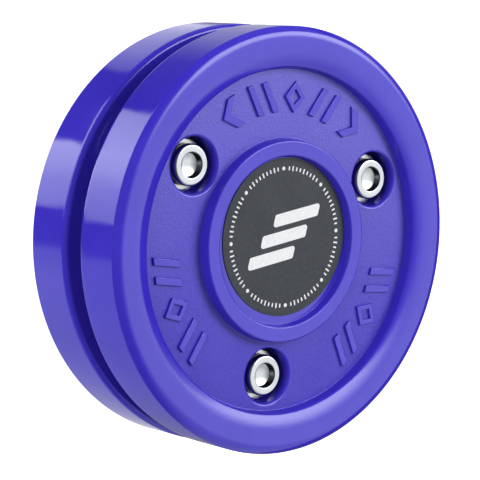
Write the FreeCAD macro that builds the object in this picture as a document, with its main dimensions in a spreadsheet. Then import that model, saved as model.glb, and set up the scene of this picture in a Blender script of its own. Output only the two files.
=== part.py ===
import FreeCAD, Part
import Sketcher
import math
import os

# Off-ice training puck: two identical moulded halves held loosely together by three semi-tubular
# rivets. Between the halves, each rivet passes through two ballast washers and a rubber cushion.
# Millimetres and degrees. +Z is the puck's axis, the puck lies on its rear half, and the origin is
# the centre of the lower running face. Each half is modelled in its own frame, with its origin on
# the puck's middle plane and its +Z pointing outwards.

Vector = FreeCAD.Vector
Rotation = FreeCAD.Rotation
Placement = FreeCAD.Placement

# Alias, value, what it is. Names ending in _level are distances from the puck's middle plane.
DIMENSIONS = [
    # Turned profile of a half
    ("puck_radius", 38.1, "outside radius of both halves"),
    ("half_height", 12.7, "middle plane to running face"),
    ("gap_level", 2.05, "middle plane to the inner face of a half"),
    ("rim_flat_radius", 34.6, "inner edge of the flat running annulus"),
    ("rim_crest_radius", 30.85, "top of the rim's inner wall, radius"),
    ("rim_crest_level", 11.82, "top of the rim's inner wall, height"),
    ("rim_wall_radius", 30.55, "foot of the rim's inner wall"),
    ("floor_level", 10.1, "recessed floor"),
    ("ring_foot_radius", 18.2, "foot of the centre ring's outer wall"),
    ("ring_crest_radius", 17.95, "top of the centre ring's outer wall"),
    ("ring_level", 12.12, "top of the centre ring"),
    ("ring_inner_radius", 15.25, "top of the centre ring's inner wall"),
    ("well_radius", 15.0, "foot of the centre ring's inner wall"),
    ("well_level", 10.65, "floor of the label well"),
    # Edges of a half
    ("outer_edge_chamfer", 1.0, "running-face edge"),
    ("outer_edge_fillet", 0.3, "side edge of that chamfer"),
    ("outer_edge_roll", 2.4, "roll between that chamfer and the flat"),
    ("gap_edge_fillet", 1.0, "edge beside the gap"),
    ("crest_fillet", 1.2, "top edge of the rim's inner wall"),
    ("ring_fillet", 0.35, "top edges of the centre ring"),
    ("foot_fillet", 0.15, "feet of the walls on the floor"),
    ("mouth_fillet", 0.6, "mouth of a rivet pocket"),
    # Pockets and holes in a half
    ("rivet_circle_radius", 24.28, "radius of the circle through the rivets"),
    ("pocket_radius", 4.95, "rivet pocket in the outer face"),
    ("seat_level", 6.3, "washer seat at the bottom of a rivet pocket"),
    ("shank_hole_radius", 2.75, "clearance hole for a rivet"),
    ("weight_pocket_radius", 10.4, "pocket for a ballast washer in the inner face"),
    ("weight_pocket_level", 4.1, "ceiling of that pocket"),
    ("core_level", 7.1, "ceiling of the cored-out sectors"),
    ("core_inner_radius", 15.4, "inner radius of the cored-out sectors"),
    ("core_outer_radius", 34.2, "outer radius of the cored-out sectors"),
    ("core_side_x_inner", 6.6, "far side of a sector at its inner radius"),
    ("core_side_x_outer", 16.4, "far side of a sector at its outer radius"),
    ("rib_half_width", 1.2, "half the width of the rib between two sectors"),
    ("hub_core_radius", 11.0, "cored-out hub behind the label well"),
    ("hub_core_level", 7.6, "ceiling of the cored-out hub"),
    # Raised marks
    ("mark_inner_radius", 22.8, "inner end of the raised marks"),
    ("mark_outer_radius", 28.4, "outer end of the raised marks"),
    ("mark_stroke", 1.35, "width of a raised stroke"),
    ("mark_half_width", 2.35, "half the width of a raised mark"),
    ("mark_lean", 0.8, "sideways lean of a slanted bar, each side of the middle"),
    ("mark_height", 0.45, "height of the raised marks over the floor"),
    # Labels
    ("label_radius", 14.1, "printed label"),
    ("label_thickness", 0.15, "printed label"),
    ("label_shift_x", 0.33, "how far the front label is off centre, along X"),
    ("label_shift_y", 0.7, "how far the front label is off centre, along Y"),
    # Rivets
    ("shank_radius", 2.38, "rivet shank"),
    ("head_radius", 3.95, "rivet factory head"),
    ("head_thickness", 1.5, "rivet factory head"),
    ("head_fillet", 0.8, "rounded edge of the factory head"),
    ("head_level", 9.34, "middle plane to the outer face of the factory head"),
    ("clinch_level", 9.5, "middle plane to the top of the clinch"),
    ("clinch_radius", 3.7, "rolled collar of the clinch"),
    ("clinch_height", 1.66, "height of the rolled collar"),
    ("clinch_top_fillet", 0.5, "outer top edge of the collar"),
    ("clinch_foot_fillet", 0.2, "outer foot of the collar"),
    ("lip_radius", 2.25, "mouth of the clinch's bore"),
    ("lip_fillet", 0.2, "edge of that mouth"),
    ("bore_radius", 2.08, "foot of the clinch's bore"),
    ("bore_depth", 1.25, "top of the clinch to the foot of its bore"),
    ("bore_cone_depth", 1.85, "top of the clinch to the tip of its bore"),
    # Washers and cushions
    ("washer_radius", 4.5, "washers in the rivet pockets"),
    ("washer_hole_radius", 2.48, "hole of those washers and of the ballast washers"),
    ("washer_thickness", 0.9, "thickness of the washers in the rivet pockets"),
    ("washer_chamfer", 0.12, "broken edges of those washers"),
    ("weight_radius", 10.0, "ballast washers"),
    ("weight_thickness", 3.46, "thickness of the ballast washers"),
    ("weight_chamfer", 0.4, "broken edges of the ballast washers"),
    ("cushion_radius", 8.2, "rubber cushions"),
    ("cushion_hole_radius", 2.6, "hole of the rubber cushions"),
    ("cushion_thickness", 1.16, "rubber cushions"),
    ("cushion_fillet", 0.3, "rounded outer edges of the rubber cushions"),
    ("slack", 0.02, "assembly slack between stacked pieces"),
]

RIVET_COUNT = 3
FIRST_RIVET_ANGLE = 30

# Proportions of the raised marks
DIAMOND_SIDE_WALL = 0.85  # wall of the diamond at its sides, in strokes
DIAMOND_END_WALL = 1.02  # wall of the diamond at its two ends, in strokes
CHEVRON_BACK = 0.8  # reach of the chevron's back, in half widths
CHEVRON_WIDTH = 1.35  # width of the chevron's arms, in strokes

# Smallest change of volume, in mm3, that shows that a feature took effect
LEAST_CUT = 1.0
LEAST_MARK = 0.5

doc = FreeCAD.newDocument("training_puck")
sheet = doc.addObject("Spreadsheet::Sheet", "Dims")
for row, (alias, value, note) in enumerate(DIMENSIONS, start=1):
    sheet.set(f"A{row}", note)
    sheet.set(f"B{row}", repr(value))
    sheet.setAlias(f"B{row}", alias)
doc.recompute()


# ---------------------------------------------------------------- sizes bound to the sheet


class Size:
    """An expression on the sheet with its present value. It combines with sizes and numbers."""

    def __init__(self, text, value):
        self.text = text
        self.value = float(value)

    def __add__(self, other):
        other = as_size(other)
        return Size(f"({self.text} + {other.text})", self.value + other.value)

    def __sub__(self, other):
        other = as_size(other)
        return Size(f"({self.text} - {other.text})", self.value - other.value)

    def __mul__(self, other):
        other = as_size(other)
        return Size(f"({self.text} * {other.text})", self.value * other.value)

    def __neg__(self):
        return Size(f"(0 - {self.text})", -self.value)


def as_size(value):
    return value if isinstance(value, Size) else Size(repr(float(value)), value)


def dim(alias):
    return Size("Dims." + alias, sheet.get(alias))


ZERO = as_size(0.0)


# ---------------------------------------------------------------- sketches


def origin_feature(body, role):
    for feature in body.Origin.OriginFeatures:
        if feature.Role == role:
            return feature
    raise RuntimeError("no origin feature " + role)


def new_body(label):
    body = doc.addObject("PartDesign::Body", label)
    body.Label = label
    return body


def add_to(body, kind, name):
    """Adds an object to a body and puts the body's label before its name."""
    return body.newObject(kind, f"{body.Label}_{name}")


def new_sketch(body, name, role="XY_Plane", lift=ZERO, turn=0.0):
    sketch = add_to(body, "Sketcher::SketchObject", name)
    sketch.AttachmentSupport = [(origin_feature(body, role), "")]
    sketch.MapMode = "FlatFace"
    rotation = Rotation(Vector(0, 0, 1), turn)
    sketch.AttachmentOffset = Placement(Vector(0, 0, lift.value), rotation)
    if lift is not ZERO:
        sketch.setExpression("AttachmentOffset.Base.z", lift.text)
    return sketch


def bind(sketch, index, name, size):
    sketch.renameConstraint(index, name)
    sketch.setExpression("Constraints." + name, size.text)


def hold_coordinate(sketch, geometry, end, name, axis, size):
    """Ties one coordinate of a point to the origin. A negative one is measured backwards."""
    kind = "DistanceX" if axis == "x" else "DistanceY"
    if size is ZERO:
        crossed_axis = -2 if axis == "x" else -1
        sketch.addConstraint(
            Sketcher.Constraint("PointOnObject", geometry, end, crossed_axis)
        )
        return
    if size.value > 0:
        constraint = Sketcher.Constraint(kind, -1, 1, geometry, end, size.value)
    else:
        size = -size
        constraint = Sketcher.Constraint(kind, geometry, end, -1, 1, size.value)
    bind(sketch, sketch.addConstraint(constraint), f"{name}_{axis}", size)


def hold_point(sketch, geometry, end, name, x, y):
    hold_coordinate(sketch, geometry, end, name, "x", x)
    hold_coordinate(sketch, geometry, end, name, "y", y)


def hold_radius(sketch, geometry, name, radius):
    index = sketch.addConstraint(Sketcher.Constraint("Radius", geometry, radius.value))
    bind(sketch, index, name + "_radius", radius)


def circle(sketch, name, radius, y=ZERO):
    """A circle centred on the sketch's Y axis."""
    shape = Part.Circle(Vector(0, y.value, 0), Vector(0, 0, 1), radius.value)
    index = sketch.addGeometry(shape, False)
    hold_point(sketch, index, 3, name + "_centre", ZERO, y)
    hold_radius(sketch, index, name, radius)


def outline(sketch, name, points, arcs=None):
    """A closed outline through points.

    arcs maps the number of a side to a point on its arc. An arc starts tangent to the side
    before it.
    """
    arcs = arcs or {}
    first = sketch.GeometryCount
    count = len(points)
    corners = [Vector(x.value, y.value, 0) for x, y in points]
    for i, start in enumerate(corners):
        end = corners[(i + 1) % count]
        if i in arcs:
            shape = Part.Arc(start, Vector(*arcs[i], 0), end)
        else:
            shape = Part.LineSegment(start, end)
        sketch.addGeometry(shape, False)
    # Numbers of each side's start and end point. The sketch may store an arc the other way round.
    ends = []
    for i, start in enumerate(corners):
        reversed_arc = (
            i in arcs and (sketch.Geometry[first + i].StartPoint - start).Length > 1e-6
        )
        ends.append((2, 1) if reversed_arc else (1, 2))
    for i in range(count):
        following = (i + 1) % count
        kind = "Tangent" if following in arcs else "Coincident"
        sketch.addConstraint(
            Sketcher.Constraint(
                kind, first + i, ends[i][1], first + following, ends[following][0]
            )
        )
    for i, (x, y) in enumerate(points):
        hold_point(sketch, first + i, ends[i][0], f"{name}_{i}", x, y)


# ---------------------------------------------------------------- features


def finish_feature(body, feature):
    doc.recompute()
    body.Tip = feature
    doc.recompute()
    if "Invalid" in feature.State or "Error" in feature.State or feature.Shape.isNull():
        raise RuntimeError(f"{feature.Name} failed: {feature.State}")
    return feature


def finish_cut(body, feature, volume_before):
    finish_feature(body, feature)
    if feature.Shape.Volume > volume_before - LEAST_CUT:
        raise RuntimeError(feature.Name + " cut nothing")
    return feature


def revolve(body, sketch, name):
    doc.recompute()
    feature = add_to(body, "PartDesign::Revolution", name)
    feature.Profile = sketch
    feature.ReferenceAxis = (sketch, ["V_Axis"])
    feature.Angle = 360.0
    finish_feature(body, feature)


def extrude(body, kind, sketch, name, length):
    feature = add_to(body, "PartDesign::" + kind, name)
    feature.Profile = sketch
    feature.Length = length.value
    feature.setExpression("Length", length.text)
    return feature


def pad(body, sketch, name, length):
    doc.recompute()
    finish_feature(body, extrude(body, "Pad", sketch, name, length))


def pocket(body, sketch, name, length):
    """Cuts from the sketch towards the body's -Z."""
    doc.recompute()
    before = body.Shape.Volume
    return finish_cut(body, extrude(body, "Pocket", sketch, name, length), before)


def repeat_at_rivets(body, feature, name):
    before = body.Shape.Volume
    pattern = add_to(body, "PartDesign::PolarPattern", name)
    pattern.Originals = [feature]
    pattern.Axis = (origin_feature(body, "Z_Axis"), [""])
    pattern.Angle = 360.0
    pattern.Occurrences = RIVET_COUNT
    finish_cut(body, pattern, before)


def round_edges(shape, radius, level):
    """Names of the circular edges with this radius at this height."""
    found = []
    for index, edge in enumerate(shape.Edges, start=1):
        curve = edge.Curve
        if (
            isinstance(curve, Part.Circle)
            and abs(curve.Radius - radius) < 1e-4
            and abs(curve.Center.z - level) < 1e-4
        ):
            found.append(f"Edge{index}")
    if not found:
        raise RuntimeError(f"no edge of radius {radius:g} at height {level:g}")
    return found


def dress(body, kind, name, places, size):
    """Fillets or chamfers the circular edges at places, each a radius and a height."""
    base = body.Tip
    names = []
    for radius, level in places:
        names += round_edges(base.Shape, radius.value, level.value)
    feature = add_to(body, "PartDesign::" + kind, name)
    feature.Base = (base, names)
    size_property = "Radius" if kind == "Fillet" else "Size"
    setattr(feature, size_property, size.value)
    feature.setExpression(size_property, size.text)
    finish_feature(body, feature)


def place(body, x, y, z, turned=False):
    """Puts a body's origin at a point. A turned body is first turned over about the Y axis."""
    rotation = Rotation(Vector(0, 1, 0), 180) if turned else Rotation()
    body.Placement = Placement(Vector(x.value, y.value, z.value), rotation)
    for axis, size in (("x", x), ("y", y), ("z", z)):
        if size is not ZERO:
            body.setExpression("Placement.Base." + axis, size.text)


# ---------------------------------------------------------------- raised marks

# A mark's sketch has its +Y pointing away from the puck's axis. Seen from outside the half, side 1
# leans or points the mark clockwise around the puck, and side -1 mirrors it.


def slanted_bars(sketch, side):
    """Two parallel slanted bars."""
    inner, outer = dim("mark_inner_radius"), dim("mark_outer_radius")
    stroke, half_width = dim("mark_stroke"), dim("mark_half_width")
    lean = dim("mark_lean") * side
    for name, start in (("left", -half_width), ("right", half_width - stroke)):
        end = start + stroke
        corners = [
            (start - lean, inner),
            (end - lean, inner),
            (end + lean, outer),
            (start + lean, outer),
        ]
        outline(sketch, name, corners)


def diamond(sketch):
    """A diamond with a diamond-shaped opening."""
    inner, outer = dim("mark_inner_radius"), dim("mark_outer_radius")
    stroke, half_width = dim("mark_stroke"), dim("mark_half_width")
    middle = (inner + outer) * 0.5
    opening = half_width - stroke * DIAMOND_SIDE_WALL
    reach = (outer - inner) * 0.5 - stroke * DIAMOND_END_WALL
    for name, low, high, reach_x in (
        ("rim", inner, outer, half_width),
        ("opening", middle - reach, middle + reach, opening),
    ):
        corners = [(ZERO, low), (reach_x, middle), (ZERO, high), (-reach_x, middle)]
        outline(sketch, name, corners)


def chevron(sketch, side):
    """A chevron that points sideways along the floor."""
    inner, outer = dim("mark_inner_radius"), dim("mark_outer_radius")
    middle = (inner + outer) * 0.5
    back = -(dim("mark_half_width") * CHEVRON_BACK) * side
    tip = dim("mark_half_width") * side
    width = dim("mark_stroke") * CHEVRON_WIDTH * side
    corners = [
        (back, inner),
        (back + width, inner),
        (tip, middle),
        (back + width, outer),
        (back, outer),
        (tip - width, middle),
    ]
    outline(sketch, "arrow", corners)


# Angle of a group's middle, then its marks: angle from that middle, shape, side if it has one.
THREE_MARKS = ((15.6, slanted_bars, -1), (0.0, diamond), (-15.6, slanted_bars, 1))
FIVE_MARKS = (
    (32.6, chevron, -1),
    (16.4, slanted_bars, -1),
    (0.0, diamond),
    (-16.4, slanted_bars, 1),
    (-32.6, chevron, 1),
)
MARK_GROUPS = ((90.0, FIVE_MARKS), (210.0, THREE_MARKS), (330.0, THREE_MARKS))


def raise_marks(body):
    """Raised marks on the floor between the rivets."""
    marks = [
        (middle + offset, draw, side)
        for middle, group in MARK_GROUPS
        for offset, draw, *side in group
    ]
    for index, (angle, draw, side) in enumerate(marks, start=1):
        name = f"mark_{index}"
        sketch = new_sketch(body, name + "_sketch", lift=dim("floor_level"), turn=angle - 90.0)
        draw(sketch, *side)
        before = body.Shape.Volume
        pad(body, sketch, name, dim("mark_height"))
        if body.Shape.Volume < before + LEAST_MARK:
            raise RuntimeError(name + " added nothing")


# ---------------------------------------------------------------- the two moulded halves


def turn_half(body):
    """Inner face, cylinder, flat running annulus, crowned rim, floor, centre ring, label well."""
    flat, top = dim("rim_flat_radius"), dim("half_height")
    crest_radius, crest_level = dim("rim_crest_radius"), dim("rim_crest_level")
    points = [
        (ZERO, dim("gap_level")),
        (dim("puck_radius"), dim("gap_level")),
        (dim("puck_radius"), top),
        (flat, top),
        (crest_radius, crest_level),
        (dim("rim_wall_radius"), dim("floor_level")),
        (dim("ring_foot_radius"), dim("floor_level")),
        (dim("ring_crest_radius"), dim("ring_level")),
        (dim("ring_inner_radius"), dim("ring_level")),
        (dim("well_radius"), dim("well_level")),
        (ZERO, dim("well_level")),
    ]
    # The crown leaves the flat annulus without a crease: its arc's centre is straight below the
    # annulus's inner edge.
    run = flat.value - crest_radius.value
    rise = top.value - crest_level.value
    arc_radius = (run * run + rise * rise) / (2.0 * rise)
    middle_angle = 0.5 * math.asin(run / arc_radius)
    crown_middle = (
        flat.value - arc_radius * math.sin(middle_angle),
        top.value - arc_radius + arc_radius * math.cos(middle_angle),
    )
    profile = new_sketch(body, "profile", "XZ_Plane")
    outline(profile, "p", points, arcs={3: crown_middle})
    revolve(body, profile, "turning")


def sector(sketch, name, side):
    """One sector beside the rib on +Y: inner arc, slanted side, outer arc, side along the rib."""
    inner, outer = dim("core_inner_radius"), dim("core_outer_radius")
    rib_side = dim("rib_half_width") * side
    # Name, x and distance from the axis of each corner. Side i runs from corner i to the next one.
    corners = [
        ("near_in", rib_side, inner),
        ("far_in", dim("core_side_x_inner") * side, inner),
        ("far_out", dim("core_side_x_outer") * side, outer),
        ("near_out", rib_side, outer),
    ]
    points = [
        Vector(x.value, math.sqrt(radius.value**2 - x.value**2), 0) for _, x, radius in corners
    ]
    arc_radii = {0: inner, 2: outer}
    sides = []
    for start in range(4):
        end = (start + 1) % 4
        if start in arc_radii:
            angles = {i: math.atan2(points[i].y, points[i].x) for i in (start, end)}
            low, high = sorted(angles, key=angles.get)
            whole = Part.Circle(Vector(0, 0, 0), Vector(0, 0, 1), arc_radii[start].value)
            shape = Part.ArcOfCircle(whole, angles[low], angles[high])
            ends = {low: 1, high: 2}
        else:
            shape = Part.LineSegment(points[start], points[end])
            ends = {start: 1, end: 2}
        sides.append((sketch.addGeometry(shape, False), ends))

    for number, arc_name in ((0, "inner"), (2, "outer")):
        index = sides[number][0]
        sketch.addConstraint(Sketcher.Constraint("Coincident", index, 3, -1, 1))
        hold_radius(sketch, index, f"{name}_{arc_name}", arc_radii[number])
    for corner in range(4):
        before, before_ends = sides[corner - 1]
        after, after_ends = sides[corner]
        sketch.addConstraint(
            Sketcher.Constraint(
                "Coincident", before, before_ends[corner], after, after_ends[corner]
            )
        )
    for corner, (corner_name, x, _) in enumerate(corners):
        index, ends = sides[corner]
        hold_coordinate(sketch, index, ends[corner], f"{name}_{corner_name}", "x", x)


def core_out(body):
    """Sectors cored out of the inner face, one on each side of each rib, and the hub."""
    sectors = new_sketch(body, "sector_sketch", lift=dim("core_level"))
    sector(sectors, "right", 1)
    sector(sectors, "left", -1)
    cut = pocket(body, sectors, "sector_cores", dim("core_level"))
    repeat_at_rivets(body, cut, "sector_cores_round")

    hub = new_sketch(body, "hub_sketch", lift=dim("hub_core_level"))
    circle(hub, "hub", dim("hub_core_radius"))
    pocket(body, hub, "hub_core", dim("hub_core_level"))


def cut_at_rivets(body, sketch_name, cut_name, radius, level, depth):
    """A round cut on each rivet's axis, from level down by depth.

    The sketch's +Y points at the rivet at 270 degrees. The pattern makes the other two cuts.
    """
    sketch = new_sketch(body, sketch_name + "_sketch", lift=level, turn=180.0)
    circle(sketch, sketch_name, radius, y=dim("rivet_circle_radius"))
    cut = pocket(body, sketch, cut_name, depth)
    repeat_at_rivets(body, cut, cut_name + "s")


def cut_rivet_places(body):
    """Ballast pockets in the inner face, rivet pockets in the outer face, clearance holes."""
    ceiling, top = dim("weight_pocket_level"), dim("half_height")
    cut_at_rivets(
        body, "ballast", "ballast_pocket", dim("weight_pocket_radius"), ceiling, ceiling
    )
    cut_at_rivets(
        body, "mouth", "rivet_pocket", dim("pocket_radius"), top, top - dim("seat_level")
    )
    cut_at_rivets(body, "hole", "rivet_hole", dim("shank_hole_radius"), top, top)


def dress_half(body):
    side, top, floor = dim("puck_radius"), dim("half_height"), dim("floor_level")
    chamfer, ring_top = dim("outer_edge_chamfer"), dim("ring_level")
    dress(body, "Chamfer", "outer_edge", [(side, top)], chamfer)
    # Feature, its edges, its radius. Each fillet works on the shape left by the one before.
    fillets = [
        ("outer_edge_roll", [(side - chamfer, top)], "outer_edge_roll"),
        ("outer_edge_softened", [(side, top - chamfer)], "outer_edge_fillet"),
        ("gap_edge", [(side, dim("gap_level"))], "gap_edge_fillet"),
        ("rim_crest", [(dim("rim_crest_radius"), dim("rim_crest_level"))], "crest_fillet"),
        (
            "ring_crests",
            [(dim("ring_crest_radius"), ring_top), (dim("ring_inner_radius"), ring_top)],
            "ring_fillet",
        ),
        (
            "wall_feet",
            [(dim("rim_wall_radius"), floor), (dim("ring_foot_radius"), floor)],
            "foot_fillet",
        ),
        ("pocket_mouths", [(dim("pocket_radius"), floor)], "mouth_fillet"),
    ]
    for name, places, radius in fillets:
        dress(body, "Fillet", name, places, dim(radius))


def make_half(label):
    body = new_body(label)
    turn_half(body)
    core_out(body)
    cut_rivet_places(body)
    dress_half(body)
    raise_marks(body)
    return body


# ---------------------------------------------------------------- small pieces


def make_label(label):
    body = new_body(label)
    sketch = new_sketch(body, "sketch")
    circle(sketch, "edge", dim("label_radius"))
    pad(body, sketch, "sheet", dim("label_thickness"))
    return body


def make_rivet(label):
    """Semi-tubular rivet as set, with its origin at the outer face of its factory head.

    From the bottom: factory head, solid shank, and a rolled collar around the open bore.
    """
    body = new_body(label)
    total = dim("head_level") + dim("clinch_level")
    collar_foot = total - dim("clinch_height")
    head, shank, collar = dim("head_radius"), dim("shank_radius"), dim("clinch_radius")
    profile = new_sketch(body, "profile", "XZ_Plane")
    points = [
        (ZERO, ZERO),
        (head, ZERO),
        (head, dim("head_thickness")),
        (shank, dim("head_thickness")),
        (shank, collar_foot),
        (collar, collar_foot),
        (collar, total),
        (dim("lip_radius"), total),
        (dim("bore_radius"), total - dim("bore_depth")),
        (ZERO, total - dim("bore_cone_depth")),
    ]
    outline(profile, "p", points)
    revolve(body, profile, "turning")
    dress(body, "Fillet", "head_edge", [(head, ZERO)], dim("head_fillet"))
    dress(body, "Fillet", "collar_top", [(collar, total)], dim("clinch_top_fillet"))
    dress(body, "Fillet", "collar_foot", [(collar, collar_foot)], dim("clinch_foot_fillet"))
    dress(body, "Fillet", "collar_lip", [(dim("lip_radius"), total)], dim("lip_fillet"))
    return body


def make_ring(label, radius, hole, thickness, edge_kind, edge):
    """A flat ring with both its outer edges chamfered or filleted."""
    body = new_body(label)
    sketch = new_sketch(body, "sketch")
    circle(sketch, "rim", radius)
    circle(sketch, "hole", hole)
    pad(body, sketch, "blank", thickness)
    dress(body, edge_kind, "edges", [(radius, ZERO), (radius, thickness)], edge)
    return body


def make_washer(label):
    return make_ring(
        label,
        radius=dim("washer_radius"),
        hole=dim("washer_hole_radius"),
        thickness=dim("washer_thickness"),
        edge_kind="Chamfer",
        edge=dim("washer_chamfer"),
    )


def make_weight(label):
    return make_ring(
        label,
        radius=dim("weight_radius"),
        hole=dim("washer_hole_radius"),
        thickness=dim("weight_thickness"),
        edge_kind="Chamfer",
        edge=dim("weight_chamfer"),
    )


def make_cushion(label):
    return make_ring(
        label,
        radius=dim("cushion_radius"),
        hole=dim("cushion_hole_radius"),
        thickness=dim("cushion_thickness"),
        edge_kind="Fillet",
        edge=dim("cushion_fillet"),
    )


# ---------------------------------------------------------------- assembly

middle_plane = dim("half_height")

# The rear half is the same moulding turned over, which keeps the rivet holes in line.
front_shell = make_half("front_shell")
place(front_shell, ZERO, ZERO, middle_plane)
rear_shell = make_half("rear_shell")
place(rear_shell, ZERO, ZERO, middle_plane, turned=True)

front_label = make_label("front_label")
place(
    front_label, dim("label_shift_x"), dim("label_shift_y"), middle_plane + dim("well_level")
)
rear_label = make_label("rear_label")
place(rear_label, ZERO, ZERO, middle_plane - dim("well_level"), turned=True)

pieces = [front_shell, rear_shell, front_label, rear_label]

# What stands on each rivet's axis: name, maker, height of its origin, whether it is turned over.
seat_offset = dim("seat_level") + dim("slack")
weight_offset = dim("weight_pocket_level") - dim("slack")
RIVET_STACK = [
    ("rivet", make_rivet, middle_plane - dim("head_level"), False),
    ("front_washer", make_washer, middle_plane + seat_offset, False),
    ("rear_washer", make_washer, middle_plane - seat_offset, True),
    ("lower_weight", make_weight, middle_plane - weight_offset, False),
    ("cushion", make_cushion, middle_plane - dim("cushion_thickness") * 0.5, False),
    (
        "upper_weight",
        make_weight,
        middle_plane + weight_offset - dim("weight_thickness"),
        False,
    ),
]

for i in range(RIVET_COUNT):
    angle = FIRST_RIVET_ANGLE + i * 360 / RIVET_COUNT
    radians = math.radians(angle)
    rivet_x = dim("rivet_circle_radius") * Size(f"cos({angle:g} deg)", math.cos(radians))
    rivet_y = dim("rivet_circle_radius") * Size(f"sin({angle:g} deg)", math.sin(radians))
    for name, make, height, turned in RIVET_STACK:
        piece = make(f"{name}_{i + 1}")
        place(piece, rivet_x, rivet_y, height, turned)
        pieces.append(piece)

doc.recompute()

# ---------------------------------------------------------------- validation and files

for item in doc.Objects:
    if "Invalid" in item.State or "Error" in item.State:
        raise RuntimeError(f"{item.Label} is {item.State}")
for piece in pieces:
    shape = piece.Shape
    if shape.isNull() or not shape.isValid() or len(shape.Solids) != 1:
        raise RuntimeError(piece.Label + " isn't one valid solid")

os.makedirs("parts", exist_ok=True)
for piece in pieces:
    piece.Shape.exportStep("parts/" + piece.Label + ".step")
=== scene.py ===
"""A riveted puck: two moulded halves with labels, rivets, washers and ballast weights.

The puck's axis is Z. The lower running face lies on z = 0, the front half faces +Z and the
rear half faces -Z. Lengths are in millimetres unless noted, and become metres in each mesh.
"""
import math

import bmesh
import bpy
import numpy as np
from mathutils import Matrix, Vector


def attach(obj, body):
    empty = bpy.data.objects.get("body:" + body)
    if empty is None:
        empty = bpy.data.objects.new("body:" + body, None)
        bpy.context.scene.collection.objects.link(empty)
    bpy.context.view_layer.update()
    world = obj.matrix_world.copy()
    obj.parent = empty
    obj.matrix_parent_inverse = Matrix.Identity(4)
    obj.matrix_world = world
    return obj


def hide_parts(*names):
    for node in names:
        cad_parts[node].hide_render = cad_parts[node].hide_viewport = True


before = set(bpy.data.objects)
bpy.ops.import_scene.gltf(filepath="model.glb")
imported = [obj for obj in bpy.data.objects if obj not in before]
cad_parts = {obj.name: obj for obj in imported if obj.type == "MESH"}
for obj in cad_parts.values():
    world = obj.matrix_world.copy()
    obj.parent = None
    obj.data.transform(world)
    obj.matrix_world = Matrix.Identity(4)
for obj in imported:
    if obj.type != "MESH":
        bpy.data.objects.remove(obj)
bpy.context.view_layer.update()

MM = 0.001
HALF = 12.7                      # height of the middle plane above the lower running face
CREASE_ANGLE = 32.0              # degrees; sharper edges keep a hard crease

# Half mouldings. Heights are above the middle plane.
PUCK_R = 38.1
INNER_FACE_Z = 2.05
FLOOR_Z = 10.1                   # recessed ring-shaped floor
RING_Z = 12.12                   # raised ring around the label well
WELL_Z = 10.65                   # bottom of the label well

RIVET_R = 24.28                  # pitch radius
RIVET_PLACES = [(RIVET_R * math.cos(math.radians(a)), RIVET_R * math.sin(math.radians(a)))
                for a in (30.0, 150.0, 270.0)]


# ------------------------------------------------------------------ outlines

def fillet(before, corner, after, radius, steps):
    """Points of the arc that replaces a corner of an outline."""
    corner = np.array(corner, float)
    back = np.array(before, float) - corner
    ahead = np.array(after, float) - corner
    back_length, ahead_length = np.linalg.norm(back), np.linalg.norm(ahead)
    back, ahead = back / back_length, ahead / ahead_length
    angle = math.acos(max(-1.0, min(1.0, float(back @ ahead))))
    reach = min(radius / math.tan(angle / 2), 0.98 * back_length, 0.98 * ahead_length)
    radius = reach * math.tan(angle / 2)
    bisector = (back + ahead) / np.linalg.norm(back + ahead)
    centre = corner + bisector * (radius / math.sin(angle / 2))
    start = corner + back * reach - centre
    end = corner + ahead * reach - centre
    sweep = math.atan2(start[0] * end[1] - start[1] * end[0], float(start @ end))
    out = []
    for k in range(steps + 1):
        cos, sin = math.cos(sweep * k / steps), math.sin(sweep * k / steps)
        out.append((centre[0] + start[0] * cos - start[1] * sin,
                    centre[1] + start[0] * sin + start[1] * cos))
    return out


def rounded(points):
    """points: (x, y) or (x, y, radius, steps). Corners with a radius become arcs."""
    out = []
    for i, point in enumerate(points):
        if len(point) > 2:
            after = points[(i + 1) % len(points)]
            out += fillet(points[i - 1][:2], point[:2], after[:2], *point[2:])
        else:
            out.append(point)
    return out


def densify(profile, longest):
    """Adds points along long straight steps of an open outline, so that faces stay compact."""
    out = [profile[0]]
    for a, b in zip(profile, profile[1:]):
        length = math.hypot(b[0] - a[0], b[1] - a[1])
        pieces = max(1, int(math.ceil(length / longest)))
        for k in range(1, pieces + 1):
            out.append((a[0] + (b[0] - a[0]) * k / pieces, a[1] + (b[1] - a[1]) * k / pieces))
    return out


def arc(radius, start, end, steps):
    """Points on a circle about the origin, between two angles in radians."""
    angles = [start + (end - start) * k / steps for k in range(steps + 1)]
    return [(radius * math.cos(angle), radius * math.sin(angle)) for angle in angles]


def inset(points, distance):
    """Moves every side of an anticlockwise outline inwards."""
    out = []
    for i in range(len(points)):
        before, here, after = (np.array(points[j % len(points)], float)
                               for j in (i - 1, i, i + 1))
        edge_in = (here - before) / np.linalg.norm(here - before)
        edge_out = (after - here) / np.linalg.norm(after - here)
        normals = np.array((-edge_in[1], edge_in[0])) + np.array((-edge_out[1], edge_out[0]))
        out.append(tuple(here + normals * (distance * 2.0 / float(normals @ normals))))
    return out


def anticlockwise(points):
    area = sum(a[0] * b[1] - b[0] * a[1] for a, b in zip(points, points[1:] + points[:1]))
    return list(points) if area > 0 else list(reversed(points))


def turn(points, degrees):
    cos, sin = math.cos(math.radians(degrees)), math.sin(math.radians(degrees))
    return [(x * cos - y * sin, x * sin + y * cos) for x, y in points]


# ------------------------------------------------------------------ meshes

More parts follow.
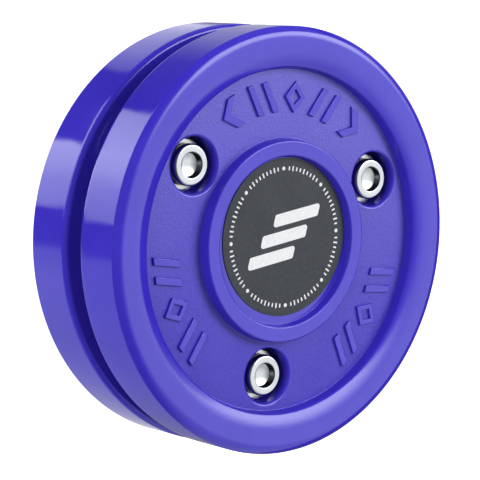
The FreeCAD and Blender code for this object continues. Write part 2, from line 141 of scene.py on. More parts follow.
def lathe_mesh(profile, steps):
    """Vertices and faces of a solid turned about Z from (radius, z) points.

    A profile that starts on the axis also ends there. Any other is closed into a ring.
    """
    verts, faces, rings = [], [], []
    for radius, z in profile:
        if radius < 1e-7:
            rings.append([len(verts)])
            verts.append((0.0, 0.0, z))
        else:
            rings.append(list(range(len(verts), len(verts) + steps)))
            for k in range(steps):
                angle = 2 * math.pi * k / steps
                verts.append((radius * math.cos(angle), radius * math.sin(angle), z))
    pairs = list(zip(rings, rings[1:]))
    if len(rings[0]) > 1:
        pairs.append((rings[-1], rings[0]))
    for low, high in pairs:
        for k in range(steps):
            m = (k + 1) % steps
            if len(low) == 1:
                faces.append((low[0], high[m], high[k]))
            elif len(high) == 1:
                faces.append((low[k], low[m], high[0]))
            else:
                faces.append((low[k], low[m], high[m], high[k]))
    return verts, faces


def prism_mesh(levels, cap=True):
    """A solid stacked from (z, outline) levels whose outlines have the same point count."""
    verts, faces = [], []
    count = len(levels[0][1])
    for z, outline in levels:
        verts += [(x, y, z) for x, y in outline]
    top = (len(levels) - 1) * count
    for base in range(0, top, count):
        for k in range(count):
            m = (k + 1) % count
            faces.append((base + k, base + m, base + count + m, base + count + k))
    if cap:
        faces.append(tuple(reversed(range(count))))
        faces.append(tuple(range(top, top + count)))
    return verts, faces


def merge(parts):
    verts, faces = [], []
    for part_verts, part_faces in parts:
        base = len(verts)
        verts += part_verts
        faces += [tuple(i + base for i in face) for face in part_faces]
    return verts, faces


def add_object(name, data):
    obj = bpy.data.objects.new(name, data)
    bpy.context.scene.collection.objects.link(obj)
    return obj


def new_object(name, verts, faces):
    mesh = bpy.data.meshes.new(name)
    mesh.from_pydata([tuple(c * MM for c in vert) for vert in verts], [], faces)
    mesh.validate()
    bm = bmesh.new()
    bm.from_mesh(mesh)
    bmesh.ops.recalc_face_normals(bm, faces=bm.faces)
    bm.to_mesh(mesh)
    bm.free()
    return add_object(name, mesh)


def lathe(name, profile, steps):
    return new_object(name, *lathe_mesh(profile, steps))


def boolean(target, tool, operation):
    """Applies tool to target and removes it."""
    modifier = target.modifiers.new("cut", "BOOLEAN")
    modifier.operation = operation
    modifier.object = tool
    modifier.solver = "EXACT"
    graph = bpy.context.evaluated_depsgraph_get()
    made = bpy.data.meshes.new_from_object(target.evaluated_get(graph))
    target.modifiers.clear()
    old = target.data
    target.data = made
    bpy.data.meshes.remove(old)
    bpy.data.objects.remove(tool)


def tidy(obj):
    """Smooth shading with sharp creases, and normals weighted by area so flats stay flat."""
    bm = bmesh.new()
    bm.from_mesh(obj.data)
    bmesh.ops.remove_doubles(bm, verts=bm.verts, dist=2e-7)
    bmesh.ops.dissolve_degenerate(bm, edges=bm.edges, dist=1e-7)
    bmesh.ops.recalc_face_normals(bm, faces=bm.faces)
    for edge in bm.edges:
        if len(edge.link_faces) == 2:
            edge.smooth = edge.calc_face_angle(0.0) < math.radians(CREASE_ANGLE)
    for face in bm.faces:
        face.smooth = True
    bm.to_mesh(obj.data)
    bm.free()
    weighted = obj.modifiers.new("weighted", "WEIGHTED_NORMAL")
    weighted.mode = "FACE_AREA"
    weighted.weight = 50
    weighted.keep_sharp = True
    return obj


def place(obj, x, y, z, over):
    """Bakes the piece's place into its mesh. over turns it about Y first."""
    matrix = Matrix.Translation(Vector((x, y, z)) * MM)
    if over:
        matrix = matrix @ Matrix.Rotation(math.pi, 4, "Y")
    obj.data.transform(matrix)
    return obj


def register(obj, body, slot, node=None):
    if node:
        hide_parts(node)
    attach(obj, body)


# ------------------------------------------------------------------ node helpers

class Nodes:
    """A thin layer over the node tree of a material or world, so that it reads in order."""

    def __init__(self, owner):
        owner.use_nodes = True
        self.owner = owner
        self.tree = owner.node_tree
        self.tree.nodes.clear()

    def add(self, kind, inputs=None, **settings):
        node = self.tree.nodes.new(kind)
        for key, value in settings.items():
            setattr(node, key, value)
        for key, value in (inputs or {}).items():
            socket = node.inputs[key]
            if isinstance(value, bpy.types.NodeSocket):
                self.tree.links.new(value, socket)
            else:
                socket.default_value = value
        return node

    def math(self, operation, a, b=0.0, c=0.0):
        return self.add("ShaderNodeMath", {0: a, 1: b, 2: c}, operation=operation).outputs[0]

    def plus(self, a, b):
        return self.math("ADD", a, b)

    def times(self, product, *factors):
        for factor in factors:
            product = self.math("MULTIPLY", product, factor)
        return product

    def linear(self, value, gain, base):
        return self.math("MULTIPLY_ADD", value, gain, base)

    def rest(self, share):
        """One minus share."""
        return self.math("SUBTRACT", 1.0, share)

    def share_out(self, share, a, b):
        """a where share is 1, b where it is 0."""
        return self.plus(self.times(a, share), self.times(b, self.rest(share)))

    def step(self, value, span, levels=(0.0, 1.0)):
        """A smooth step between two levels as value crosses the span."""
        inputs = {0: value, 1: span[0], 2: span[1], 3: levels[0], 4: levels[1]}
        return self.add("ShaderNodeMapRange", inputs, interpolation_type="SMOOTHSTEP").outputs[0]

    def window(self, value, rise, fall, level=1.0):
        """Climbs to level over the rise span and back to 0 over the fall span."""
        return self.times(self.step(value, rise, (0.0, level)),
                          self.step(value, fall, (1.0, 0.0)))

    def mix(self, value, span, low, high):
        """Blends from colour low to colour high as value crosses the span."""
        low, high = (c if isinstance(c, bpy.types.NodeSocket) else (*c, 1.0)
                     for c in (low, high))
        inputs = {0: self.step(value, span), 6: low, 7: high}
        return self.add("ShaderNodeMix", inputs, data_type="RGBA").outputs[2]

    def position(self):
        return self.add("ShaderNodeTexCoord").outputs["Object"]

    def split(self, vector):
        return self.add("ShaderNodeSeparateXYZ", {0: vector}).outputs

    def stretch(self, where, scale):
        return self.add("ShaderNodeMapping", {"Vector": where, "Scale": scale}).outputs[0]

    def noise(self, where, scale, detail=3.0, rough=0.5):
        inputs = {"Vector": where, "Scale": scale, "Detail": detail, "Roughness": rough}
        return self.add("ShaderNodeTexNoise", inputs).outputs[0]

    def bump(self, height, strength, distance, under=None):
        """distance is in metres; under is a bump that this one lies on."""
        inputs = {"Strength": strength, "Distance": distance, "Height": height}
        if under is not None:
            inputs["Normal"] = under
        return self.add("ShaderNodeBump", inputs).outputs[0]

    def emission(self, strength):
        inputs = {"Color": (1, 1, 1, 1), "Strength": strength}
        return self.add("ShaderNodeEmission", inputs).outputs[0]

    def finish(self, surface, output="ShaderNodeOutputMaterial"):
        self.add(output, {"Surface": surface})
        return self.owner

    def principled(self, colour, roughness, normal, **more):
        """Finishes the material. An underscore in a name of more stands for a space."""
        inputs = {"Base Color": colour, "Roughness": roughness, "Normal": normal}
        inputs.update((key.replace("_", " "), value) for key, value in more.items())
        return self.finish(self.add("ShaderNodeBsdfPrincipled", inputs).outputs[0])


def new_material(name):
    return Nodes(bpy.data.materials.new(name))


def tint(colour, factors, painted_lift=(0.0, 0.0, 0.0)):
    return tuple(c * factor + add for c, factor, add in zip(colour, factors, painted_lift))


# ------------------------------------------------------------------ materials

PURPLE = (0.047, 0.029, 0.560)
# Painted sheen: this whitish lift in the grain colour stands in for the matt floor's specular
# reflection.
GRAIN_PAINTED_SHEEN = (0.014, 0.014, 0.0)  # lifts the matt floor's red and green


def shell_gloss():
    """Polished moulded plastic: a faint mottle, hairline scuffs and a slightly wavy gloss."""
    nodes = new_material("shell_gloss")
    where = nodes.position()
    mottle = nodes.noise(where, scale=90.0, detail=2.0)
    fine = nodes.noise(where, scale=900.0, rough=0.6)
    colour = nodes.mix(mottle, span=(0.30, 0.70), low=tint(PURPLE, (0.94, 0.92, 0.96)),
                       high=tint(PURPLE, (1.06, 1.08, 1.04)))
    stretched = nodes.stretch(where, scale=(60.0, 2600.0, 500.0))
    scuffs = nodes.step(nodes.noise(stretched, scale=1.0, detail=2.0), span=(0.66, 0.74))
    scuff_roughness = 0.05
    roughness = nodes.plus(nodes.linear(fine, gain=0.04, base=0.055),
                           nodes.times(scuffs, scuff_roughness))
    # Flow lines: noise stretched in polar coordinates about the puck's axis.
    radial_scale, around_scale, axial_scale = 900.0, 5.0, 260.0
    x, y, z = nodes.split(where)
    radius = nodes.math("SQRT", nodes.plus(nodes.times(x, x), nodes.times(y, y)))
    around = nodes.math("ARCTAN2", y, x)
    polar = nodes.add("ShaderNodeCombineXYZ", {
        0: nodes.times(radius, radial_scale),
        1: nodes.times(around, around_scale),
        2: nodes.times(z, axial_scale),
    }).outputs[0]
    flow_lines = nodes.noise(polar, scale=1.0, detail=2.0, rough=0.6)
    swell = nodes.noise(where, scale=70.0, detail=1.0, rough=0.4)
    normal = nodes.bump(swell, strength=0.20, distance=0.00016)
    normal = nodes.bump(flow_lines, strength=0.22, distance=0.00008, under=normal)
    normal = nodes.bump(fine, strength=0.05, distance=0.00003, under=normal)
    return nodes.principled(colour, roughness, normal, IOR=1.50)


def shell_grain():
    """The recessed floor: the same plastic with a fine matt grain, a painted whitish lift in its
    colour and a painted sheen that grows towards +Y.
    """
    nodes = new_material("shell_grain")
    where = nodes.position()
    grain = nodes.noise(where, scale=2300.0, rough=0.65)
    pits = nodes.add("ShaderNodeTexVoronoi", {"Vector": where, "Scale": 2400.0},
                     feature="F1").outputs["Distance"]
    height = nodes.linear(pits, gain=0.6, base=grain)
    broad = nodes.noise(where, scale=120.0, detail=2.0)
    # Painted sheen: both grain tones carry a whitish lift that stands in for the floor's specular
    # reflection.
    colour = nodes.mix(grain, span=(0.32, 0.68),
                       low=tint(PURPLE, (0.80, 0.80, 0.72), GRAIN_PAINTED_SHEEN),
                       high=tint(PURPLE, (1.06, 1.15, 0.86), GRAIN_PAINTED_SHEEN))
    broad_roughness = 0.05
    roughness = nodes.plus(nodes.linear(grain, gain=0.12, base=0.42),
                           nodes.times(broad, broad_roughness))
    normal = nodes.bump(height, strength=0.75, distance=0.00008)
    # Painted highlight: the sheen grows from -Y to +Y, over a span in metres, and stands in for
    # brighter light on the +Y side. The broad noise makes it uneven.
    across = nodes.split(where)[1]
    painted_sheen_growth = nodes.step(across, span=(-0.032, 0.032), levels=(0.32, 0.90))
    sheen = nodes.linear(broad, gain=0.3, base=painted_sheen_growth)
    return nodes.principled(colour, roughness, normal, IOR=1.50, Specular_IOR_Level=sheen)


def zinc(name, tone, rough):
    """Bright zinc plate: a fine satin with a faint variation in tone."""
    nodes = new_material(name)
    where = nodes.position()
    fine = nodes.noise(where, scale=2600.0, rough=0.6)
    cloud = nodes.noise(where, scale=420.0, detail=2.0)
    colour = nodes.mix(cloud, span=(0.35, 0.65), low=tint(tone, (0.94, 0.94, 0.94)),
                       high=tint(tone, (1.0, 1.0, 1.02)))
    cloud_roughness = 0.06
    roughness = nodes.plus(nodes.linear(fine, gain=0.08, base=rough),
                           nodes.times(cloud, cloud_roughness))
    normal = nodes.bump(fine, strength=0.12, distance=0.00001)
    return nodes.principled(colour, roughness, normal, Metallic=1.0)


def ballast_steel():
    """Plain stamped steel: darker, with a rolled-sheet streak."""
    nodes = new_material("ballast_steel")
    where = nodes.position()
    streak = nodes.stretch(where, scale=(120.0, 3000.0, 600.0))
    lines = nodes.noise(streak, scale=1.0, rough=0.6)
    spots = nodes.noise(where, scale=700.0, rough=0.6)
    colour = nodes.mix(spots, span=(0.30, 0.70), low=(0.30, 0.30, 0.31), high=(0.47, 0.47, 0.48))
    roughness = nodes.linear(lines, gain=0.22, base=0.26)
    normal = nodes.bump(lines, strength=0.15, distance=0.00002)
    return nodes.principled(colour, roughness, normal, Metallic=1.0)


def rubber():
    """Moulded black rubber with a dusty bloom."""
    nodes = new_material("cushion_rubber")
    where = nodes.position()
    fine = nodes.noise(where, scale=1800.0, rough=0.6)
    bloom = nodes.noise(where, scale=300.0, detail=2.0)
    colour = nodes.mix(bloom, span=(0.3, 0.75), low=(0.018, 0.018, 0.019),
                       high=(0.045, 0.045, 0.048))
    normal = nodes.bump(fine, strength=0.4, distance=0.00003)
    return nodes.principled(colour, nodes.linear(fine, gain=0.2, base=0.62), normal)


def label_film():
    """Charcoal printed vinyl: a fine print screen and a soft sheen."""
    nodes = new_material("label_film")
    where = nodes.position()
    fine = nodes.noise(where, scale=3000.0, detail=2.0, rough=0.6)
    cloud = nodes.noise(where, scale=160.0)
    colour = nodes.mix(cloud, span=(0.25, 0.75), low=(0.017, 0.021, 0.027),
                       high=(0.025, 0.029, 0.036))
    colour = nodes.mix(fine, span=(0.42, 0.75), low=colour, high=(0.040, 0.045, 0.053))
    normal = nodes.bump(fine, strength=0.10, distance=0.00001)
    return nodes.principled(colour, nodes.linear(fine, gain=0.15, base=0.42), normal,
                            IOR=1.45, Specular_IOR_Level=0.36)


def label_ink():
    """White screen-printed ink with slightly uneven cover."""
    nodes = new_material("label_ink")
    fine = nodes.noise(nodes.position(), scale=2400.0, rough=0.6)
    colour = nodes.mix(fine, span=(0.3, 0.7), low=(0.76, 0.77, 0.79), high=(0.86, 0.87, 0.88))
    normal = nodes.bump(fine, strength=0.08, distance=0.00001)
    return nodes.principled(colour, roughness=0.45, normal=normal)


GLOSS = shell_gloss()
GRAIN = shell_grain()
ZINC_RIVET = zinc("rivet_zinc", tone=(0.405, 0.425, 0.44), rough=0.11)
ZINC_WASHER = zinc("washer_zinc", tone=(0.42, 0.42, 0.41), rough=0.17)
STEEL = ballast_steel()
RUBBER = rubber()
FILM = label_film()
INK = label_ink()


# ------------------------------------------------------------------ the moulded halves

def shell_profile():
    """Section of a half. The running face falls in a crown from its flat to a lip."""
    flat_r, lip_r, lip_z = 34.6, 30.85, 11.82
    run, fall = flat_r - lip_r, HALF - lip_z
    crown_r = (run * run + fall * fall) / (2 * fall)
    crown, steps = [], 12
    for k in range(1, steps):
        t = math.asin(run / crown_r) * k / steps
        crown.append((flat_r - crown_r * math.sin(t), HALF - crown_r + crown_r * math.cos(t)))
    # radius, height, and for a rounded corner its radius and steps
    return rounded([
        (0.0, INNER_FACE_Z),
        (PUCK_R, INNER_FACE_Z, 1.0, 8),
        (PUCK_R, HALF - 1.0, 0.3, 5),
        (PUCK_R - 1.0, HALF, 2.4, 12),
        (flat_r, HALF),
        *crown,
        (lip_r, lip_z, 1.2, 10),
        (30.55, FLOOR_Z, 0.15, 4),
        (18.2, FLOOR_Z, 0.15, 4),
        (17.95, RING_Z, 0.35, 6),
        (15.25, RING_Z, 0.35, 6),
        (15.0, WELL_Z, 0.15, 3),
        (0.0, WELL_Z),
    ])


def rivet_cutter():
    """Ballast pocket, clearance hole and rivet pocket with its rounded mouth, in one solid."""
    ballast_r, ballast_z = 10.4, 4.1
    hole_r = 2.75
    wall_r, seat_z, corner = 4.95, 6.3, 0.2
    mouth, mouth_steps, corner_steps = 0.6, 10, 3
    top_z = 13.5
    profile = [(0.0, 0.0), (ballast_r, 0.0), (ballast_r, ballast_z), (hole_r, ballast_z),
               (hole_r, seat_z), (wall_r - corner, seat_z)]
    for k in range(1, corner_steps + 1):
        t = math.pi / 2 * k / corner_steps
        profile.append((wall_r - corner + corner * math.sin(t),
                        seat_z + corner - corner * math.cos(t)))
    for k in range(mouth_steps):
        t = math.pi / 2 * k / mouth_steps
        profile.append((wall_r + mouth - mouth * math.cos(t),
                        FLOOR_Z - mouth + mouth * math.sin(t)))
    # The mouth ends just clear of the floor, so that the cut does not graze it.
    edge_r = wall_r + mouth + 0.004
    profile += [(edge_r, FLOOR_Z + 0.0008), (edge_r, top_z), (0.0, top_z)]
    return lathe_mesh(profile, 72)


def shell_cutters():
    verts, faces = rivet_cutter()
    parts = [([(vx + x, vy + y, vz) for vx, vy, vz in verts], faces) for x, y in RIVET_PLACES]
    hub_r, hub_z = 11.0, 7.6
    hub = rounded([(0.0, 0.0), (hub_r, 0.0), (hub_r, hub_z, 0.6, 4), (0.0, hub_z)])
    parts.append(lathe_mesh(hub, 96))
    # Cored-out sectors on either side of each rib. near and far are distances from its middle.
    inner_r, outer_r, core_z = 15.4, 34.2, 7.1
    near, inner_far, outer_far = 1.2, 6.6, 16.4
    sector = arc(inner_r, math.acos(inner_far / inner_r), math.acos(near / inner_r), 6)
    sector += arc(outer_r, math.acos(near / outer_r), math.acos(outer_far / outer_r), 12)
    for side in (1, -1):
        outline = anticlockwise([(x * side, y) for x, y in sector])
        for k in range(3):
            turned = turn(outline, 120 * k)
            parts.append(prism_mesh([(0.0, turned), (core_z, turned)]))
    return merge(parts)


# Raised marks on the floor, drawn about the +Y axis.
MARK_IN, MARK_OUT = 22.8, 28.4
MARK_MID = (MARK_IN + MARK_OUT) / 2
MARK_HALF = 2.35                 # half width
MARK_STROKE = 1.35
MARK_LEAN = 0.8


def bars(side):
    lean = side * MARK_LEAN
    out = []
    for left in (-MARK_HALF, MARK_HALF - MARK_STROKE):
        right = left + MARK_STROKE
        out.append(([(left - lean, MARK_IN), (right - lean, MARK_IN),
                     (right + lean, MARK_OUT), (left + lean, MARK_OUT)], None))
    return out


def diamond(_side):
    wide = MARK_HALF - 0.85 * MARK_STROKE
    reach = (MARK_OUT - MARK_IN) / 2 - 1.02 * MARK_STROKE
    outline = [(0, MARK_IN), (MARK_HALF, MARK_MID), (0, MARK_OUT), (-MARK_HALF, MARK_MID)]
    opening = [(0, MARK_MID - reach), (wide, MARK_MID), (0, MARK_MID + reach), (-wide, MARK_MID)]
    return [(outline, opening)]


def chevron(side):
    back, tip = -0.8 * MARK_HALF * side, MARK_HALF * side
    wide = 1.35 * MARK_STROKE * side
    return [([(back, MARK_IN), (back + wide, MARK_IN), (tip, MARK_MID),
              (back + wide, MARK_OUT), (back, MARK_OUT), (tip - wide, MARK_MID)], None)]


# shape, degrees from the group's middle, side it leans or points to
LONG_GROUP = ((chevron, 32.6, -1), (bars, 16.4, -1), (diamond, 0.0, 0), (bars, -16.4, 1),
              (chevron, -32.6, 1))
SHORT_GROUP = ((bars, 15.6, -1), (diamond, 0.0, 0), (bars, -15.6, 1))
MARK_GROUPS = ((90.0, LONG_GROUP), (210.0, SHORT_GROUP), (330.0, SHORT_GROUP))


def mark_shapes():
    """Turned outlines of the marks, each with its opening or None."""
    for middle, marks in MARK_GROUPS:
        for shape, offset, side in marks:
            angle = middle + offset - 90.0
            for outline, opening in shape(side):
                yield (turn(anticlockwise(outline), angle),
                       turn(anticlockwise(opening), angle) if opening else None)


def raised_marks():
    """The marks as closed solids with softly rounded top edges and a little draft."""
    top, soft, soft_steps = FLOOR_Z + 0.45, 0.12, 3
    levels = [(FLOOR_Z - 0.3, -0.03), (FLOOR_Z, -0.02), (top - soft, 0.01)]  # height, inset
    for k in range(1, soft_steps + 1):
        t = math.pi / 2 * k / soft_steps
        levels.append((top - soft + soft * math.sin(t), 0.01 + soft * (1 - math.cos(t))))
    parts = []
    for outline, opening in mark_shapes():
        outer = [(z, inset(outline, distance)) for z, distance in levels]
        if opening is None:
            parts.append(prism_mesh(outer))
            continue
        inner = [(z, inset(opening, -distance)) for z, distance in levels]
        verts, faces = prism_mesh(outer, cap=False)
        inner_verts, inner_faces = prism_mesh(inner, cap=False)
        base, count = len(verts), len(outline)
        verts += inner_verts
        faces += [tuple(reversed([i + base for i in face])) for face in inner_faces]
        last = (len(levels) - 1) * count
        for k in range(count):
            m = (k + 1) % count
            faces.append((k, base + k, base + m, m))
            faces.append((last + k, last + m, base + last + m, base + last + k))
        parts.append((verts, faces))
    return merge(parts)


def make_shell(name):
    shell = lathe(name, densify(shell_profile(), 6.0), steps=240)
    boolean(shell, new_object(name + "_cutters", *shell_cutters()), "DIFFERENCE")
    boolean(shell, new_object(name + "_marks", *raised_marks()), "UNION")
    tidy(shell)
    shell.data.materials.clear()
    shell.data.materials.append(GLOSS)
    shell.data.materials.append(GRAIN)
    # Only upward faces of the recessed floor take the grain.
    for face in shell.data.polygons:
        centre = face.center / MM
        on_floor = (18.5 < math.hypot(centre.x, centre.y) < 30.25
                    and abs(centre.z - FLOOR_Z) < 0.02 and face.normal.z > 0.99)
        face.material_index = 1 if on_floor else 0
    return shell


for half, turned_over in (("front", False), ("rear", True)):
    moulding = place(make_shell(half + "_shell_moulding"), 0.0, 0.0, HALF, turned_over)
    register(moulding, half + "_half", "shell_plastic", node=half + "_shell")


# ------------------------------------------------------------------ labels

LABEL_R = 14.1
FILM_THICK = 0.15


def speed_bars():
    """Three slanted bars, each lower and further left than the last."""
    lean, height, length = 0.45, 2.2, 10.6
    for k in range(3):
        left = -3.4 - 2.0 * k
        right = left + length
        low = 2.15 - 3.15 * k
        high = low + height
        corners = ((left + lean * low, low), (right + lean * low, low),
                   (right + lean * high, high), (left + lean * high, high))
        yield turn(rounded([(x, y, 0.5, 4) for x, y in corners]), 15.0)


def tick_ring():
    """A ring of short ticks with a dot every 45 degrees."""
    ring_r, dot_r = 12.25, 0.36
    half_width, long_half, shortening = 0.15, 0.475, 0.12
    dot = [(dot_r * math.cos(math.pi * j / 6), ring_r + dot_r * math.sin(math.pi * j / 6))
           for j in range(12)]
    for group in range(8):
        start = 45.0 * group + 8.0
        yield turn(dot, start)
        for k in range(9):
            half = long_half if k % 3 == 1 else long_half - shortening
            corners = ((-half_width, ring_r - half), (half_width, ring_r - half),
                       (half_width, ring_r + half), (-half_width, ring_r + half))
            tick = rounded([(x, y, 0.1, 2) for x, y in corners])
            yield turn(tick, start + 6.1 + 4.1 * k)


def make_label(side, x, y, over):
    name, body = side + "_label", side + "_half"
    z = HALF - WELL_Z if over else HALF + WELL_Z
    profile = rounded([(0.0, 0.0), (LABEL_R, 0.0), (LABEL_R, FILM_THICK, 0.05, 3),
                       (0.0, FILM_THICK)])
    film = place(tidy(lathe(name + "_film", densify(profile, 3.0), steps=160)), x, y, z, over)
    film.data.materials.append(FILM)
    register(film, body, "label_print", node=name)
    parts = []
    for shape in (*speed_bars(), *tick_ring()):
        shape = anticlockwise(shape)
        parts.append(prism_mesh([(FILM_THICK - 0.01, shape), (FILM_THICK + 0.012, shape),
                                 (FILM_THICK + 0.02, inset(shape, 0.01))]))
    ink = place(tidy(new_object(name + "_ink", *merge(parts))), x, y, z, over)
    ink.data.materials.append(INK)
    register(ink, body, "label_print")


make_label("front", 0.33, 0.7, over=False)
make_label("rear", 0.0, 0.0, over=True)


# ------------------------------------------------------------------ rivets, washers, ballast

BORE_R = 2.48                    # of washers and weights
WASHER_Z = 6.32                  # inner face of a washer, from the middle plane
WEIGHT_THICK = 3.46
WEIGHT_Z = 4.08                  # outer face of a weight, from the middle plane
CUSHION_THICK = 1.16


def rivet_profile():
    """Head at z 0, shank, and the rolled collar with its coned bore at the top."""
    top = 18.84
    foot = top - 1.66
    head_r, head_z, shank_r, collar_r = 3.95, 1.5, 2.38, 3.7
    return rounded([
        (0.0, 0.0), (head_r, 0.0, 0.8, 8), (head_r, head_z, 0.12, 3), (shank_r, head_z, 0.1, 3),
        (shank_r, foot, 0.06, 2), (collar_r, foot, 0.2, 5), (collar_r, top, 0.5, 9),
        (2.25, top, 0.2, 7), (2.08, top - 1.25, 0.12, 4), (0.0, top - 1.85),
    ])


def washer_profile(radius, hole, thick, edge, steps):
    """edge rounds the rim; the bore is rounded a little less."""
    bore_edge = edge * 0.7
    return rounded([(hole, 0.0, bore_edge, steps), (radius, 0.0, edge, steps),
                    (radius, thick, edge, steps), (hole, thick, bore_edge, steps)])


WASHER = washer_profile(4.5, BORE_R, thick=0.9, edge=0.16, steps=4)
WEIGHT = washer_profile(10.0, BORE_R, thick=WEIGHT_THICK, edge=0.45, steps=5)
CUSHION = washer_profile(8.2, 2.6, thick=CUSHION_THICK, edge=0.3, steps=5)

# node, process, body, slot, material, profile, steps around, z, turned over
HARDWARE = (
    ("rivet", "turned", "rivet", "rivet_steel", ZINC_RIVET, rivet_profile(), 72,
     HALF - 9.34, False),
    ("front_washer", "pressed", "front_washer", "washer_steel", ZINC_WASHER, WASHER, 72,
     HALF + WASHER_Z, False),
    ("rear_washer", "pressed", "rear_washer", "washer_steel", ZINC_WASHER, WASHER, 72,
     HALF - WASHER_Z, True),
    ("lower_weight", "stamped", "lower_ballast", "ballast_steel", STEEL, WEIGHT, 96,
     HALF - WEIGHT_Z, False),
    ("upper_weight", "stamped", "upper_ballast", "ballast_steel", STEEL, WEIGHT, 96,
     HALF + WEIGHT_Z - WEIGHT_THICK, False),
    ("cushion", "moulded", "lower_ballast", "cushion_rubber", RUBBER, CUSHION, 96,
     HALF - CUSHION_THICK / 2, False),
)

for number, (x, y) in enumerate(RIVET_PLACES, start=1):
    for node, process, body, slot, material, profile, steps, z, over in HARDWARE:
        piece = lathe(f"{node}_{number}_{process}", profile, steps)
        place(tidy(piece), x, y, z, over)
        piece.data.materials.append(material)
        register(piece, f"{body}_{number}", slot, node=f"{node}_{number}")


# ------------------------------------------------------------------ camera

scene = bpy.context.scene
scene.view_settings.view_transform = "Standard"
scene.view_settings.look = "None"

CAMERA_PLACE = (-256.267, 20.078, 305.561 + HALF)
CAMERA_AXES = (
    (0.76670821, 0.09416617, 0.63505217),    # right
    (-0.03866013, 0.99416135, -0.10074027),  # up
    (-0.64083065, 0.05268719, 0.76587214),   # back
)

camera = add_object("camera", bpy.data.cameras.new("camera"))
camera.data.sensor_width = 36.0
camera.data.lens = 165.3
camera.data.shift_x = -0.0021
camera.data.clip_start = 0.01
camera.data.clip_end = 20.0
camera.matrix_world = (Matrix.Translation(Vector(CAMERA_PLACE) * MM)
                       @ Matrix(CAMERA_AXES).transposed().to_4x4())
scene.camera = camera


# ------------------------------------------------------------------ floor and card

def sheet(name, half, z):
    """A level square; half its side and its height are in metres."""
    mesh = bpy.data.meshes.new(name)
    corners = [(-half, -half, z), (half, -half, z), (half, half, z), (-half, half, z)]
    mesh.from_pydata(corners, [], [(0, 1, 2, 3)])
    return add_object(name, mesh)


def floor_paper():
    """White glowing paper, clear from below."""
    nodes = new_material("floor_paper")
    cloud = nodes.noise(nodes.position(), scale=6.0, detail=2.0)
    base = nodes.mix(cloud, span=(0.3, 0.7), low=(0.86, 0.86, 0.86), high=(0.88, 0.88, 0.88))
    diffuse = nodes.add("ShaderNodeBsdfDiffuse", {"Color": base}).outputs[0]
    glow = nodes.emission(strength=1.02)
    paper = nodes.add("ShaderNodeAddShader", {0: diffuse, 1: glow}).outputs[0]
    clear = nodes.add("ShaderNodeBsdfTransparent").outputs[0]
    below = nodes.add("ShaderNodeNewGeometry").outputs["Backfacing"]
    mixed = nodes.add("ShaderNodeMixShader", {0: below, 1: paper, 2: clear})
    return nodes.finish(mixed.outputs[0])


floor = sheet("floor", 3, 0)
floor.data.materials.append(floor_paper())
floor.visible_glossy = False
floor.visible_diffuse = False

# Light level by direction about the card's centre: (degrees from +X, level).
OUTER_BANDS = (
    (0, 0.6), (70, 0.6), (90, 0.1), (123, 0.02), (125.5, 2.7), (136, 3.4), (148, 4.2), (155, 3.8),
    (165, 2.4), (179, 1.8), (180.5, 0.04), (196, 0.10), (199, 0.7), (225, 0.65), (265, 0.5),
    (300, 0.3),
)
INNER_BANDS = (
    (0, 0.3), (50, 0.3), (56, 1.1), (88, 1.0), (101, 0.6), (104, 0.03), (143, 0.05), (144.5, 4.0),
    (154, 3.6), (160, 2.9), (175, 2.1), (177, 0.04), (193, 0.10), (196, 0.8), (210, 1.0),
    (245, 0.7), (300, 0.7),
)
BAND_SCALE = 5.0                 # level of a white ramp colour


def bands(nodes, direction, stops):
    ramp = nodes.add("ShaderNodeValToRGB", {"Fac": nodes.math("DIVIDE", direction, 360.0)})
    points = ramp.color_ramp.elements
    while len(points) > 1:
        points.remove(points[-1])
    for k, (degrees, level) in enumerate(stops):
        point = points[0] if k == 0 else points.new(degrees / 360.0)
        point.position = degrees / 360.0
        point.color = (level / BAND_SCALE,) * 3 + (1.0,)
    return nodes.times(ramp.outputs[0], BAND_SCALE)


def card_light():
    """Bands of light around a centre off the axis towards -X, in an inner and outer zone."""
    centre_offset, wobble_degrees = 10.0, 7.0
    nodes = new_material("card_light")
    x, y, _ = nodes.split(nodes.position())
    x, y = nodes.times(x, 1 / MM), nodes.times(y, 1 / MM)
    wobble = nodes.noise(nodes.position(), scale=85.0, detail=2.0, rough=0.6)
    wobble = nodes.math("SUBTRACT", wobble, 0.5)
    direction = nodes.math("ARCTAN2", y, nodes.plus(x, centre_offset))
    direction = nodes.times(direction, 180.0 / math.pi)
    direction = nodes.linear(wobble, gain=wobble_degrees, base=direction)
    direction = nodes.math("FLOORED_MODULO", direction, 360.0)
    x_squared = nodes.math("POWER", nodes.plus(x, centre_offset), 2.0)
    distance = nodes.math("SQRT", nodes.plus(nodes.times(y, y), x_squared))
    # The near rim mirrors the outer zone of the card, the far rim its inner zone.
    outer = bands(nodes, direction, OUTER_BANDS)
    inner = bands(nodes, direction, INNER_BANDS)
    # The outer zone fades out around the -X direction.
    shade = nodes.times(
        nodes.step(distance, span=(95.0, 125.0)),
        nodes.window(direction, rise=(168.0, 174.0), fall=(212.0, 226.0), level=0.9))
    outer = nodes.times(outer, nodes.rest(shade))
    share = nodes.step(distance, span=(71.5, 73.5))
    material = nodes.finish(nodes.emission(nodes.share_out(share, outer, inner)))
    material.cycles.emission_sampling = "NONE"
    return material


# Below the floor and seen only in glossy reflections: it gives the rims bands of light.
card = sheet("card", 400 * MM, (-60.0 + HALF) * MM)
card.data.materials.append(card_light())
for ray_kind in ("camera", "diffuse", "transmission", "volume_scatter", "shadow"):
    setattr(card, "visible_" + ray_kind, False)


# ------------------------------------------------------------------ world and key light

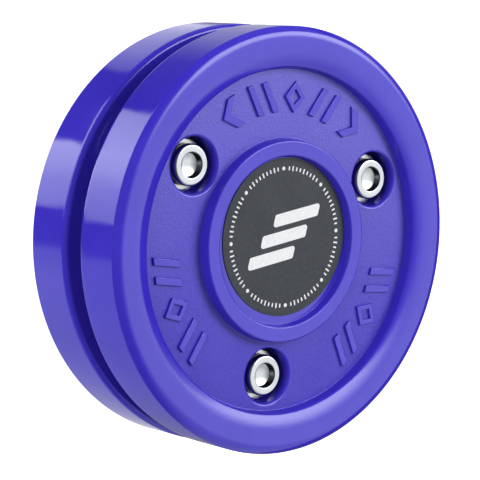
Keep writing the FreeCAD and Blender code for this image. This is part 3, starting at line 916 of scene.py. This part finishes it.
def glossy_room(nodes, ray, x, y, z):
    """What glossy rays see: a soft box towards +X and +Y in a dim room, dark far out on +X."""
    # Degrees from straight up, towards +X and towards +Y.
    clamped = nodes.math("MAXIMUM", nodes.math("MINIMUM", z, 0.9999), -0.9999)
    angle = nodes.math("ARCCOSINE", clamped)
    sine = nodes.math("MAXIMUM", nodes.math("SINE", angle), 0.001)
    spread = nodes.times(nodes.math("DIVIDE", angle, sine), 57.2958)
    tilt_x, tilt_y = nodes.times(x, spread), nodes.times(y, spread)
    box = nodes.times(nodes.window(tilt_y, rise=(1.0, 26.0), fall=(38.0, 46.0)),
                      nodes.window(tilt_x, rise=(5.0, 17.0), fall=(46.0, 76.0)))
    room = nodes.times(nodes.step(tilt_x, span=(55.0, 62.0), levels=(1.0, 0.0)),
                       nodes.step(tilt_y, span=(25.0, 50.0), levels=(1.0, 0.15)),
                       nodes.step(tilt_x, span=(-10.0, 30.0), levels=(0.10, 1.0)),
                       nodes.step(tilt_y, span=(-34.0, -8.0), levels=(1.0, 1.85)))
    # Dimmer after a further glossy or diffuse bounce.
    return nodes.times(
        nodes.linear(box, gain=5.4, base=room),
        nodes.step(ray["Glossy Depth"], span=(1.4, 1.6), levels=(1.0, 0.40)),
        nodes.step(ray["Diffuse Depth"], span=(0.4, 0.6), levels=(1.0, 0.25)))


def plain_room(nodes, ray, x, z):
    """What other rays see: a white table below the horizon, a dim sky and a band on -X."""
    band_level = 2.3
    left = nodes.math("MAXIMUM", nodes.times(x, -1.0), 0.0)
    table = nodes.times(nodes.linear(left, gain=0.10, base=0.88),
                        nodes.step(z, span=(-0.14, -0.03), levels=(1.0, 0.35)))
    band = nodes.times(left, band_level, nodes.window(z, rise=(0.05, 0.13), fall=(0.56, 0.68)))
    sky = nodes.plus(nodes.step(x, span=(-0.3, 0.5), levels=(0.06, 0.42)), band)
    below = nodes.step(z, span=(-0.04, 0.02), levels=(1.0, 0.0))
    return nodes.times(nodes.share_out(below, table, sky),
                       nodes.step(ray["Diffuse Depth"], span=(1.4, 1.6), levels=(1.0, 0.3)))


def make_world():
    world = bpy.data.worlds.new("studio")
    scene.world = world
    nodes = Nodes(world)
    ray = nodes.add("ShaderNodeLightPath").outputs
    x, y, z = nodes.split(nodes.add("ShaderNodeTexCoord").outputs["Generated"])
    glossy = nodes.times(ray["Is Glossy Ray"], glossy_room(nodes, ray, x, y, z))
    plain = nodes.times(nodes.rest(ray["Is Glossy Ray"]), plain_room(nodes, ray, x, z))
    backdrop = nodes.times(ray["Is Camera Ray"], 1.0)
    strength = nodes.math("MAXIMUM", nodes.plus(glossy, plain), backdrop)
    background = nodes.add("ShaderNodeBackground",
                           {"Color": (1, 1, 1, 1), "Strength": strength})
    nodes.finish(background.outputs[0], output="ShaderNodeOutputWorld")
    world.cycles.sampling_method = "NONE"


make_world()

# The key light's size and place are in metres. It aims at the puck's centre.
key = add_object("key", bpy.data.lights.new("key", "AREA"))
key.data.shape = "RECTANGLE"
key.data.size = 0.8
key.data.size_y = 0.45
key.data.energy = 7.7
key.location = Vector((0.48, 0.40, 0.78))
key.rotation_mode = "QUATERNION"
key.rotation_quaternion = (key.location - Vector((0, 0, HALF * MM))).to_track_quat("Z", "Y")
key.visible_glossy = False
